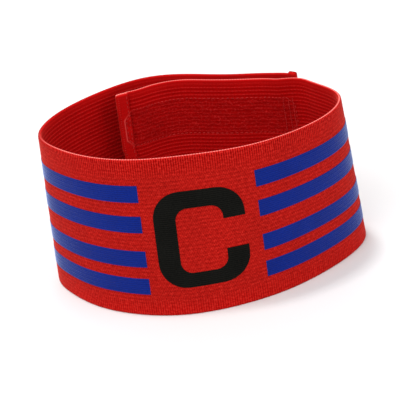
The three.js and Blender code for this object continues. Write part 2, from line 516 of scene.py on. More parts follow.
class Shader:
    """A material's node tree, with one Principled shader, made from expressions on sockets."""

    def __init__(self, name: str) -> None:
        """Start a material with an empty tree.

        Args:
            name: The material's name.
        """
        self.material = bpy.data.materials.new(name)
        self.material.use_nodes = True
        self.tree = self.material.node_tree
        self.tree.nodes.clear()

    def node(self, kind: str, settings: dict[str, Setting] | None = None,
             values: dict[str | int, SocketValue] | None = None) -> bpy.types.Node:
        """Add a node.

        Args:
            kind: The node's type.
            settings: Its own properties, set first.
            values: A value or a link for each of the sockets named or numbered.

        Returns:
            The node.
        """
        made = self.tree.nodes.new(kind)
        for name, setting in (settings or {}).items():
            setattr(made, name, setting)
        for name, value in (values or {}).items():
            if isinstance(value, Socket):
                self.tree.links.new(value.socket, made.inputs[name])
            else:
                made.inputs[name].default_value = value
        return made

    def cloth_place(self) -> tuple[Socket, Socket]:
        """The place on the flat strip, from the piece's UV map.

        Returns:
            s and z in millimetres.
        """
        place = self.node("ShaderNodeUVMap", {"uv_map": "flat"})
        parts = self.node("ShaderNodeSeparateXYZ", values={0: Socket(self, place.outputs[0])})
        s, z = (Socket(self, parts.outputs[axis]) / MM for axis in ("X", "Y"))
        return s, z

    def attribute(self, name: str) -> Socket:
        """A number that the piece's points carry."""
        made = self.node("ShaderNodeAttribute", {"attribute_name": name})
        return Socket(self, made.outputs["Fac"])

    def noise(self, x: Socket, y: Socket, scale: float, detail: float = 2.0) -> Socket:
        """Soft noise of 0 to 1 over two numbers.

        Args:
            x: The first number.
            y: The second.
            scale: How many times it varies in one unit.
            detail: How fine its finest part is.

        Returns:
            The noise.
        """
        place = self.node("ShaderNodeCombineXYZ", values={0: x, 1: y})
        made = self.node("ShaderNodeTexNoise", {"noise_dimensions": "2D"},
                         {"Vector": Socket(self, place.outputs[0]), "Scale": scale, "Detail": detail})
        return Socket(self, made.outputs["Fac"])

    def mix(self, share: Socket | float, first: SocketValue, second: SocketValue,
            blend: str = "MIX") -> Socket:
        """Mix two colours.

        Args:
            share: How much of the second.
            first: The first colour.
            second: The second colour.
            blend: The Mix node's blend type.

        Returns:
            The mixed colour.
        """
        made = self.node("ShaderNodeMix", {"data_type": "RGBA", "blend_type": blend},
                         {0: share, 6: first, 7: second})
        return Socket(self, made.outputs[2])

    def bump(self, height: Socket, distance: float, strength: float = 1.0) -> Socket:
        """A normal from a height.

        Args:
            height: The height, as a share of the distance.
            distance: The distance, in millimetres.
            strength: How much of it shows.

        Returns:
            The normal.
        """
        made = self.node("ShaderNodeBump", values={
            "Strength": strength, "Distance": distance * MM, "Height": height})
        return Socket(self, made.outputs["Normal"])

    def finish(self, values: dict[str | int, SocketValue]) -> bpy.types.Material:
        """Give the tree its Principled shader.

        Args:
            values: A value or a link for each of its sockets.

        Returns:
            The finished material.
        """
        principled = self.node("ShaderNodeBsdfPrincipled", values=values)
        output = self.node("ShaderNodeOutputMaterial")
        self.tree.links.new(principled.outputs[0], output.inputs["Surface"])
        return self.material


Colour = tuple[float, float, float, float]


@dataclass(frozen=True)
class KnitFinish:
    """Red ribbed elastic: rows of stitches outside, deep ribs inside, a pale edge yarn with a painted
    highlight, painted shade and highlights on the knit's relief, and a painted shade line along the back
    rim.
    """

    outer: Colour = (0.5, 0.0105, 0.0068, 1)
    outer_border: Colour = (0.49, 0.0045, 0.003, 1)
    outer_gap_shade: Colour = (0.16, 0.0004, 0.0004, 1)
    outer_highlight_and_fleck: Colour = (0.74, 0.04, 0.028, 1)
    inner: Colour = (0.50, 0.0015, 0.0015, 1)
    inner_groove_shade: Colour = (0.26, 0.0003, 0.0004, 1)
    inner_highlight_and_fleck: Colour = (0.66, 0.028, 0.028, 1)
    hem: Colour = (0.52, 0.004, 0.004, 1)
    pressed: Colour = (0.85, 0.1, 0.09, 1)
    selvedge_and_highlight: Colour = (1.0, 0.26, 0.23, 1)
    rim_painted_shade: Colour = (0.25, 0.001, 0.002, 1)
    patch_shade: Colour = (0.3, 0.3, 0.3, 1)
    sheen: Colour = (1.0, 0.14, 0.11, 1)
    rib_pitch: float = 70 / 39
    weft_pitch: float = 1.0
    dash_pitch: float = 1.6
    selvedge_pitch: float = 1.2
    width: float = 70.0
    edge_run: float = 11.0
    tick_rise: tuple[float, float] = (15.0, 50.0)
    lit_rim_rise: tuple[float, float] = (-98.0, -56.0)

    def _outer(self, knit: Shader, s: Socket, z: Socket, fleck: Socket, fray: Socket) -> Socket:
        """The outer face: fine rows of stitches, their wefts plainer towards the edges, with painted shade
        in the gaps between the stitches and a painted highlight on their crests.

        Args:
            knit: The shader.
            s: The place along the strip.
            z: The place across it.
            fleck: Fine noise.
            fray: Coarser noise.

        Returns:
            The colour.
        """
        row = (z + fray * 0.8).wave(self.rib_pitch)
        middle = self.width / 2
        edge = ((z - middle) * (z - middle)).smooth((middle - self.edge_run) ** 2, middle**2)
        stagger = z.wave(self.rib_pitch).smooth(0.45, 0.55) * (1 - edge.smooth(0.1, 0.3))
        weft = (s + stagger * (self.weft_pitch / 2) + fray * 0.3).wave(self.weft_pitch)
        long = knit.noise(s * 0.55, z, 1.25, 2)
        tick = edge * (0.4 + z.smooth(*self.tick_rise) * 0.6)
        # Painted shade in the gaps between the stitches and in the rows' grooves, the gaps' marks
        # strongest along the upper edge, mixed with random mottling.
        gap = ((1 - weft) * (0.3 + tick * 0.65) + (1 - row) * (0.22 - edge * 0.2) + (long - 0.5) * 0.7
               + (fleck - 0.5) * 0.6 + 0.05 - edge * 0.2)
        # Random pale flecks with a painted highlight, on the bump's raised places and the stitches'
        # crests.
        crest = fleck * 0.9 + weft * (0.15 + edge * 0.22) + row * 0.1 - (long - 0.5)
        ground = knit.mix(edge, self.outer, self.outer_border)
        return knit.mix(crest.smooth(0.62, 1.0) * 0.4, knit.mix(gap, ground, self.outer_gap_shade),
                        self.outer_highlight_and_fleck)

    def _inner(self, knit: Shader, s: Socket, z: Socket, fleck: Socket, fray: Socket) -> Socket:
        """The inner face: a painted highlight on the ribs' thin dashed crests and painted shade in their
        grooves, blotched where it is sewn on a strip.

        Args:
            knit: The shader.
            s: The place along the strip.
            z: The place across it.
            fleck: Fine noise.
            fray: Coarser noise.

        Returns:
            The colour.
        """
        sewn, plain = knit.attribute("sewn"), knit.attribute("plain")
        rib = z.wave(self.rib_pitch)
        dash = (s + fray * 2.0).wave(self.dash_pitch)
        ribbed = 1 - sewn * 0.5
        # Painted shade in the ribs' grooves, darker over the sewn zone, mixed with random mottling.
        ground = knit.mix((1 - rib) * 0.6 * ribbed + (fleck - 0.5) * 0.5 + (fray - 0.5) * 0.6 + sewn * 0.5,
                          self.inner, self.inner_groove_shade)
        # Painted highlight on the ribs' thin dashed crests, with random pale blotches where sewn and
        # random pale flecks.
        blotch = (fray * 0.6 + fleck * 0.7).smooth(0.66, 0.85) * sewn * 0.45
        thin = rib.smooth(0.72, 1.0) * ribbed * (0.15 + 0.45 * dash) + blotch
        ribs = knit.mix(thin + fleck.smooth(0.62, 0.8) * 0.2, ground, self.inner_highlight_and_fleck)
        even = knit.mix(fleck.smooth(0.35, 0.7) * 0.35, self.hem, self.inner)
        # Painted highlight along the ridge that the fastener strips' end presses through the hem.
        return knit.mix(knit.attribute("strip_end") * 0.8, knit.mix(plain * 0.85, ribs, even),
                        self.pressed)

    def build(self) -> bpy.types.Material:
        """Make the material.

        Returns:
            The material.
        """
        knit = Shader("red_knit")
        s, z = knit.cloth_place()
        outside = knit.attribute("outside")
        rim = knit.attribute("rim")
        fray = knit.noise(s, z, 0.8, 3)
        fleck = knit.noise(s * 1.2, z * 0.9, 1.9, 2)
        patch = knit.noise(s, z, 0.06, 3)
        noises = fleck, fray
        cloth = knit.mix(outside, self._inner(knit, s, z, *noises), self._outer(knit, s, z, *noises))
        # The rim's pale edge yarn with a painted highlight, from the front's left round by the right to
        # the inner end; the back-left and the tail get none.
        pale = s.smooth(*self.lit_rim_rise)
        edge = rim.smooth(0.45, 0.8) * (0.3 + 0.7 * s.wave(self.selvedge_pitch)) * pale
        # Painted shade line on the outer side of the rim along the back-left and the tail.
        dark = outside.smooth(0.25, 0.5) * rim.smooth(0.02, 0.2) * (1 - pale) * 0.6
        colour = knit.mix(dark, knit.mix(edge, cloth, self.selvedge_and_highlight), self.rim_painted_shade)
        colour = knit.mix((patch - 0.3) * 0.35, colour, self.patch_shade, "MULTIPLY")
        rows = z.wave(self.rib_pitch / 2) * 0.4 + s.wave(self.weft_pitch) * 0.5
        relief = rows * outside + fleck * 0.7
        return knit.finish({
            "Base Color": colour,
            "Roughness": 0.75 + fleck * 0.15,
            "Normal": knit.bump(relief, 0.14, 0.9),
            "Specular IOR Level": 0.03,
            "Sheen Weight": 0.6,
            "Sheen Roughness": 0.35,
            "Sheen Tint": self.sheen,
        })


@dataclass(frozen=True)
class PrintFinish:
    """Satin print film pressed on the elastic, with the rows of the knit showing through."""

    name: str
    colour: Colour
    shade: Colour
    roughness: float
    gloss: float
    sheen: float
    sheen_tint: Colour = (0.4, 0.55, 1.0, 1)
    rib_pitch: float = 70 / 39

    def build(self) -> bpy.types.Material:
        """Make the material.

        Returns:
            The material.
        """
        film = Shader(self.name)
        s, z = film.cloth_place()
        rows = z.wave(self.rib_pitch / 2)
        grain = film.noise(s * 0.6, z * 2.2, 1.6, 3)
        cloud = film.noise(s, z, 0.09, 2)
        # Painted shade along the grooves of the knit's rows, and random mottling.
        colour = film.mix((1 - rows) * 0.5 + (grain - 0.4) * 1.1 + (cloud - 0.5) * 0.4, self.colour,
                          self.shade)
        relief = rows * 0.4 + grain * 0.8 + s.wave(0.67) * 0.15
        return film.finish({
            "Base Color": colour,
            "Roughness": self.roughness + (grain - 0.5) * 0.22,
            "Normal": film.bump(relief, 0.1, 0.9),
            "Specular IOR Level": self.gloss,
            "Sheen Weight": self.sheen,
            "Sheen Roughness": 0.3,
            "Sheen Tint": self.sheen_tint,
        })


BLUE_PRINT = PrintFinish(
    name="blue_print", colour=(0.001, 0.0165, 0.215, 1), shade=(0.0005, 0.007, 0.11, 1),
    roughness=0.4, gloss=0.07, sheen=1.0)
BLACK_PRINT = PrintFinish(
    name="black_print", colour=(0.0085, 0.0085, 0.007, 1), shade=(0.0005, 0.0005, 0.0005, 1),
    roughness=0.5, gloss=0.025, sheen=0.0)


@dataclass(frozen=True)
class ThreadFinish:
    """Twisted sewing thread, with painted shade in the grooves of the twist."""

    colour: Colour = (0.78, 0.07, 0.065, 1)
    dark: Colour = (0.45, 0.008, 0.008, 1)
    twist_pitch: float = 0.34

    def build(self) -> bpy.types.Material:
        """Make the material.

        Returns:
            The material.
        """
        thread = Shader("seam_thread")
        s, z = thread.cloth_place()
        twist = (s + z).wave(self.twist_pitch)
        return thread.finish({
            # Painted shade in the grooves of the twist, following the bump.
            "Base Color": thread.mix(twist * 0.7, self.dark, self.colour),
            "Roughness": 0.6 + twist * 0.1,
            "Normal": thread.bump(twist, 0.05),
            "Specular IOR Level": 0.1,
        })


@dataclass(frozen=True)
class PileFinish:
    """The brushed loops of the touch fastener, with painted shade in the pile's low places."""

    colour: Colour = (0.42, 0.008, 0.008, 1)
    deep: Colour = (0.15, 0.001, 0.001, 1)
    sheen: Colour = (1.0, 0.4, 0.35, 1)

    def build(self) -> bpy.types.Material:
        """Make the material.

        Returns:
            The material.
        """
        pile = Shader("fastener_pile")
        s, z = pile.cloth_place()
        tuft = pile.noise(s, z, 1.5, 4)
        return pile.finish({
            # Painted shade where the tufts are low, following the bump, random in layout.
            "Base Color": pile.mix(tuft.smooth(0.3, 0.7), self.deep, self.colour),
            "Roughness": 0.85 + tuft * 0.1,
            "Normal": pile.bump(tuft, 0.3),
            "Sheen Weight": 0.4,
            "Sheen Tint": self.sheen,
        })


@dataclass(frozen=True)
class HookFinish:
    """The moulded nylon hooks of the touch fastener and the tape that they stand on."""

    colour: Colour = (0.32, 0.006, 0.006, 1)
    tape: Colour = (0.2, 0.003, 0.003, 1)
    row_pitch: float = 1.5

    def build(self) -> bpy.types.Material:
        """Make the material.

        Returns:
            The material.
        """
        hooks = Shader("fastener_hooks")
        s, z = hooks.cloth_place()
        rows = z.wave(self.row_pitch)
        grain = hooks.noise(s, z, 2.0, 2)
        return hooks.finish({
            "Base Color": hooks.mix(rows * 0.6 + grain * 0.4, self.tape, self.colour),
            "Roughness": 0.35 + grain * 0.2,
            "Normal": hooks.bump(grain, 0.05),
        })


@dataclass(frozen=True)
class FloorFinish:
    """A plain white studio floor."""

    colour: Colour = (0.72, 0.72, 0.72, 1)
    grain_scale: float = 40.0

    def build(self) -> bpy.types.Material:
        """Make the material.

        Returns:
            The material.
        """
        floor = Shader("studio_floor")
        place = floor.node("ShaderNodeTexCoord")
        grain = floor.node("ShaderNodeTexNoise", values={
            "Vector": Socket(floor, place.outputs["Object"]), "Scale": self.grain_scale})
        soft = Socket(floor, grain.outputs["Fac"])
        return floor.finish({"Base Color": self.colour, "Roughness": 0.85 + soft * 0.1})


def even_steps(marks: Sequence[float], step: float) -> list[float]:
    """Numbers from the first mark to the last, through each of them.

    Args:
        marks: The numbers to pass.
        step: The largest step between two numbers.

    Returns:
        The marks and even steps between them.
    """
    numbers = [marks[0]]
    for start, end in zip(marks, marks[1:]):
        count = max(1, math.ceil((end - start) / step))
        numbers.extend(np.linspace(start, end, count + 1)[1:].tolist())
    return numbers


def blank(columns: int, rows: int) -> bmesh.types.BMesh:
    """A flat grid whose points carry their own column in X and row in Z.

    Args:
        columns: How many columns of faces.
        rows: How many rows of faces.

    Returns:
        The grid.
    """
    bm = bmesh.new()
    bmesh.ops.create_grid(bm, x_segments=columns, y_segments=rows, size=0.5)
    turn = Matrix.Rotation(math.pi / 2, 4, "X")
    scale = Matrix.Diagonal((columns, 1, rows, 1))
    bmesh.ops.transform(bm, matrix=scale @ turn @ Matrix.Translation((0.5, 0.5, 0)), verts=bm.verts)
    return bm


def absorb(whole: bmesh.types.BMesh, part: bmesh.types.BMesh) -> None:
    """Add one mesh to another.

    Args:
        whole: The mesh that grows.
        part: The mesh that is added, used up here.
    """
    mesh = bpy.data.meshes.new("part")
    part.to_mesh(mesh)
    part.free()
    whole.from_mesh(mesh)
    bpy.data.meshes.remove(mesh)


def scatter(shape: Callable[[bmesh.types.BMesh, Matrix], None], places: Sequence[Matrix],
            batch: int = 40) -> bmesh.types.BMesh:
    """Make a small shape at many places, a batch at a time, because an operator visits a whole mesh.

    Args:
        shape: Adds the shape to a mesh, moved by a matrix.
        places: Where each copy goes.
        batch: How many copies are made together.

    Returns:
        All the copies as one mesh.
    """
    whole = bmesh.new()
    for first in range(0, len(places), batch):
        part = bmesh.new()
        for place in places[first:first + batch]:
            shape(part, place)
        absorb(whole, part)
    return whole


@dataclass
class Bench:
    """Where flat pieces are bent round the loop, dressed and put on the frame."""

    loop: OvalLoop
    elastic: Elastic
    made: list[bpy.types.Object] = field(default_factory=list)

    def lay(self, bm: bmesh.types.BMesh, height: Height) -> None:
        """Lift a flat piece so that its own heights are counted from a surface.

        Args:
            bm: The flat piece.
            height: The surface's height n at s and z.
        """
        co = np.array([v.co for v in bm.verts])
        lift = height(co[:, 0], co[:, 2])
        for vert, up in zip(bm.verts, lift):
            vert.co.y -= up

    def bend(self, name: str, bm: bmesh.types.BMesh, material: bpy.types.Material, slot: str,
             nodes: Iterable[str] = (), marks: dict[str, np.ndarray] | None = None) -> bpy.types.Object:
        """Bend a flat piece round the loop and put it on the frame.

        Args:
            name: The new piece's name.
            bm: The flat piece, used up here.
            material: Its finish.
            slot: Not used.
            nodes: The solids that it stands for.
            marks: Numbers for its points, by name, that its finish reads.

        Returns:
            The piece.
        """
        mesh = bpy.data.meshes.new(name)
        bm.to_mesh(mesh)
        bm.free()
        flat = np.empty(len(mesh.vertices) * 3)
        mesh.vertices.foreach_get("co", flat)
        flat = flat.reshape(-1, 3)
        corners = np.empty(len(mesh.loops), dtype=int)
        mesh.loops.foreach_get("vertex_index", corners)
        rows = flat[:, 2] + self.elastic.waver(flat[:, 0], flat[:, 2])
        uv = mesh.uv_layers.new(name="flat")
        uv.data.foreach_set("uv", (np.stack([flat[:, 0], rows], 1)[corners] * MM).ravel())
        for mark, numbers in (marks or {}).items():
            layer = mesh.attributes.new(mark, "FLOAT", "POINT")
            layer.data.foreach_set("value", numbers)
        mesh.vertices.foreach_set("co", self.loop.bend(flat).ravel())
        mesh.polygons.foreach_set("use_smooth", np.ones(len(mesh.polygons), dtype=bool))
        mesh.materials.append(material)
        mesh.update()
        piece = bpy.data.objects.new(name, mesh)
        bpy.context.scene.collection.objects.link(piece)
        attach(piece, "root")
        if nodes:
            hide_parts(*nodes)
        self.made.append(piece)
        log.info("%s: %d points, %d faces", name, len(mesh.vertices), len(mesh.polygons))
        return piece


@dataclass
class Band:
    """The elastic strip itself, a closed sleeve of ribbed cloth with folded hems."""

    bench: Bench
    column_step: float = 2.3
    rows_per_rib: int = 4
    edge_rows: int = 6
    end_columns: int = 4
    end_step: float = 0.26
    corner: float = 1.0
    tuck_run: float = 3.0
    tail_hem_rise: float = 1.2
    tail_hem_rise_run: float = 0.6
    edge_plainness: float = 0.75

    def _section(self) -> tuple[np.ndarray, np.ndarray]:
        """The rows round the strip's section.

        Returns:
            Each row's side, 1 on the outer face to -1 on the inner one, and its height z.
        """
        elastic = self.bench.elastic
        width, r = elastic.loop.band_width, elastic.thickness / 2
        count = elastic.ribs * self.rows_per_rib
        up = np.linspace(r, width - r, count + 1)
        arc = np.linspace(0, math.pi, self.edge_rows + 1)[1:-1]
        side = np.concatenate([np.ones(count + 1), np.cos(arc), -np.ones(count + 1), -np.cos(arc), [1]])
        z = np.concatenate([up, width - r + r * np.sin(arc), up[::-1], r - r * np.sin(arc), [r]])
        return side, z

    def _columns(self) -> tuple[np.ndarray, np.ndarray]:
        """The columns along the strip.

        Returns:
            Each column's s, and the share of its thickness that the rounded fold has there.
        """
        elastic, loop = self.bench.elastic, self.bench.loop
        r = (elastic.thickness + elastic.hem_fold) / 2
        angle = np.linspace(0, math.pi / 2, self.end_columns + 1)
        start = -loop.tail_reach + r * (1 - np.cos(angle))
        end = loop.tuck_reach - r * (1 - np.cos(angle))
        tail, tuck = elastic.tail_fold(), elastic.tuck_fold()
        middle = [*even_steps([start[-1], *tail], self.end_step),
                  *even_steps([tail[1], tuck[0] - self.tuck_run], self.column_step)[1:],
                  *even_steps([tuck[0] - self.tuck_run, *tuck, end[-1]], self.end_step)[1:]]
        columns = np.concatenate([start[:-1], middle, end[:-1][::-1]])
        share = np.concatenate([np.sin(angle[:-1]), np.ones(len(middle)), np.sin(angle[:-1])[::-1]])
        return columns, share

    def build(self, finish: bpy.types.Material) -> bpy.types.Object:
        """Make the sleeve and dress it.

        Args:
            finish: The knit.

        Returns:
            The piece.
        """
        elastic, loop = self.bench.elastic, self.bench.loop
        sides, heights = self._section()
        columns, shares = self._columns()
        bm = blank(len(columns) - 1, len(heights) - 1)
        grid = np.array([v.co for v in bm.verts])
        column = np.rint(grid[:, 0]).astype(int)
        row = np.rint(grid[:, 2]).astype(int)
        s, share, side, z = columns[column], shares[column], sides[row], heights[row]
        whole = np.abs(side)
        outer = elastic.height(s, z, Face.OUTER)
        inner = elastic.height(s, z, Face.INNER)
        drift = elastic.drift(s, z)
        thick = elastic.thickness + elastic.hem_fold * elastic.in_hem(s)
        middle = drift - thick / 2
        rim = middle + side * thick / 2
        face = np.where(side > 0, outer, inner)
        n = np.where(whole > 0.999, face, rim)
        n = middle + (n - middle) * share
        centre = loop.band_width / 2
        z = centre + (z - centre) * (1 - (1 - share) ** 2 * self.corner / centre)
        step, half_run = elastic.tail_fold()[0], self.tail_hem_rise_run / 2
        rise = self.tail_hem_rise * (1 - smoothstep(s, step - half_run, step + half_run))
        z = z + rise * smoothstep(z, centre, loop.band_width)
        for vert, place in zip(bm.verts, np.stack([s - elastic.slip(s, z), -n, z], 1)):
            vert.co = place
        outside = np.clip(side * 0.5 + 0.5, 0, 1)
        plain = np.maximum(elastic.in_hem(s), self.edge_plainness * elastic.plain(z))
        numbers = {"outside": outside, "rim": 1 - whole, "sewn": elastic.sewn(s, z), "plain": plain,
                   "strip_end": elastic.strip_end(s, z)}
        for mark, values in numbers.items():
            layer = bm.verts.layers.float.new(mark)
            for vert, value in zip(bm.verts, values):
                vert[layer] = value
        bmesh.ops.remove_doubles(bm, verts=bm.verts, dist=1e-4)
        bmesh.ops.recalc_face_normals(bm, faces=bm.faces)
        return self.bench.bend("elastic_band", bm, finish, "elastic", ["band"])

    def declare(self, sleeve: bpy.types.Object) -> None:
        """Gather the pieces made besides the strip; nothing more is done with them.

        Args:
            sleeve: The strip.
        """
        others = [piece for piece in self.bench.made if piece != sleeve]


def second_side(bm: bmesh.types.BMesh) -> list[bmesh.types.BMVert]:
    """Give a flat sheet a second side, joined to the first one round the border.

    Args:
        bm: The sheet.

    Returns:
        The points of the new side, at no distance from the old one yet.
    """
    made = bmesh.ops.extrude_face_region(bm, geom=bm.faces[:])
    return [item for item in made["geom"] if isinstance(item, bmesh.types.BMVert)]


@dataclass
class Print:
    """The four stripes on each side of the letter, and the letter, as films on the elastic."""

    bench: Bench
    film: float = 0.13
    sunk: float = 0.06
    crisp_angle: float = 1.0
    stripe_height: float = 7.3
    stripe_length: float = 88.0
    left_clearance: float = 5.1
    right_clearance: float = 6.2
    stripe_middles: tuple[float, ...] = (0.79, 0.598, 0.375, 0.196)
    letter_width: float = 38.0
    letter_height: float = 42.6
    letter_base: float = 12.5
    side_stroke: float = 9.2
    top_stroke: float = 7.6
    foot_stroke: float = 6.3
    mouth: float = 13.5
    mouth_base: float = 15.0
    corner: float = 11.5
    inner_corner: float = 5.0
    corner_segments: int = 8
    column_step: float = 1.4
    row_step: float = 0.4
    first_column: float = 0.7
    first_row: float = 0.3

    def _surface(self, s: np.ndarray, z: np.ndarray) -> np.ndarray:
        """The outer face that the films lie on."""
        return self.bench.elastic.height(s, z, Face.OUTER)

    def _film(self, bm: bmesh.types.BMesh) -> None:
        """Give a flat sheet the film's thickness and lay it on the elastic.

        Args:
            bm: The sheet, at no height.
        """
        bmesh.ops.translate(bm, verts=bm.verts, vec=(0, self.sunk, 0))
        bmesh.ops.translate(bm, verts=second_side(bm), vec=(0, -self.film - self.sunk, 0))
        bmesh.ops.recalc_face_normals(bm, faces=bm.faces)
        for edge in bm.edges:
            edge.smooth = edge.calc_face_angle(0) < self.crisp_angle
        self.bench.lay(bm, self._surface)

    def stripe(self, side: Side, row: int, finish: bpy.types.Material) -> bpy.types.Object:
        """Make one stripe.

        Args:
            side: The letter's side that it is on.
            row: Its number, counted from the top, from 1.
            finish: The blue print.

        Returns:
            The piece.
        """
        middle = self.stripe_middles[row - 1] * self.bench.loop.band_width
        columns = round(self.stripe_length / self.column_step)
        rows = round(self.stripe_height / self.row_step)
        bm = blank(columns, rows)
        stretch = self.stripe_length / columns, 1, self.stripe_height / rows
        bmesh.ops.scale(bm, verts=bm.verts, vec=stretch)
        if side is Side.RIGHT:
            first = self.letter_width / 2 + self.right_clearance
        else:
            first = -self.letter_width / 2 - self.left_clearance - self.stripe_length
        bmesh.ops.translate(bm, verts=bm.verts, vec=(first, 0, middle - self.stripe_height / 2))
        self._film(bm)
        name = f"{side.name.lower()}_stripe_{row}"
        return self.bench.bend(f"{name}_film", bm, finish, "blue_print", [name])

    def _letter_corners(self) -> list[tuple[float, float, float]]:
        """The letter's corners before they are rounded.

        Returns:
            For each corner its s, its z and its radius, going round.
        """
        left, right = -self.letter_width / 2, self.letter_width / 2
        base, top = self.letter_base, self.letter_base + self.letter_height
        stem, tip = left + self.side_stroke, right - self.side_stroke
        floor, ceiling = base + self.foot_stroke, top - self.top_stroke
        gap_base = base + self.mouth_base
        gap_top = gap_base + self.mouth
        r, q = self.corner, self.inner_corner
        return [(right, gap_top, 0), (right, top, r), (left, top, r), (left, base, r), (right, base, r),
                (right, gap_base, 0), (tip, gap_base, 0), (tip, floor, q), (stem, floor, q),
                (stem, ceiling, q), (tip, ceiling, q), (tip, gap_top, 0)]

    def letter(self, finish: bpy.types.Material) -> bpy.types.Object:
        """Make the plain block letter.

        Args:
            finish: The black print.

        Returns:
            The piece.
        """
        corners = self._letter_corners()
        bm = bmesh.new()
        verts = [bm.verts.new((s, 0, z)) for s, z, _ in corners]
        bm.faces.new(verts)
        for radius in (self.corner, self.inner_corner):
            rounded = [vert for vert, (*_, r) in zip(verts, corners) if r == radius]
            bmesh.ops.bevel(bm, geom=rounded, offset=radius, segments=self.corner_segments, profile=0.5,
                            affect="VERTICES", material=-1)
        half, base = self.letter_width / 2, self.letter_base
        for s in np.arange(-half + self.first_column, half, self.column_step):
            self._cut(bm, (s, 0, 0), (1, 0, 0))
        for z in np.arange(base + self.first_row, base + self.letter_height, self.row_step):
            self._cut(bm, (0, 0, z), (0, 0, 1))
        self._film(bm)
        return self.bench.bend("captain_letter_film", bm, finish, "black_print", ["captain_letter"])

    @staticmethod
    def _cut(bm: bmesh.types.BMesh, place: tuple[float, float, float],
             across: tuple[float, float, float]) -> None:
        """Cut a sheet along a plane, keeping both parts.

        Args:
            bm: The sheet.
            place: A point of the plane.
            across: The direction that the plane faces.
        """
        geom = bm.verts[:] + bm.edges[:] + bm.faces[:]
        bmesh.ops.bisect_plane(bm, geom=geom, dist=1e-5, plane_co=place, plane_no=across)

    def build(self, blue: bpy.types.Material, black: bpy.types.Material) -> None:
        """Make every film.

        Args:
            blue: The stripes' finish.
            black: The letter's finish.
        """
        for side in Side:
            for row in range(1, len(self.stripe_middles) + 1):
                self.stripe(side, row, blue)
        self.letter(black)


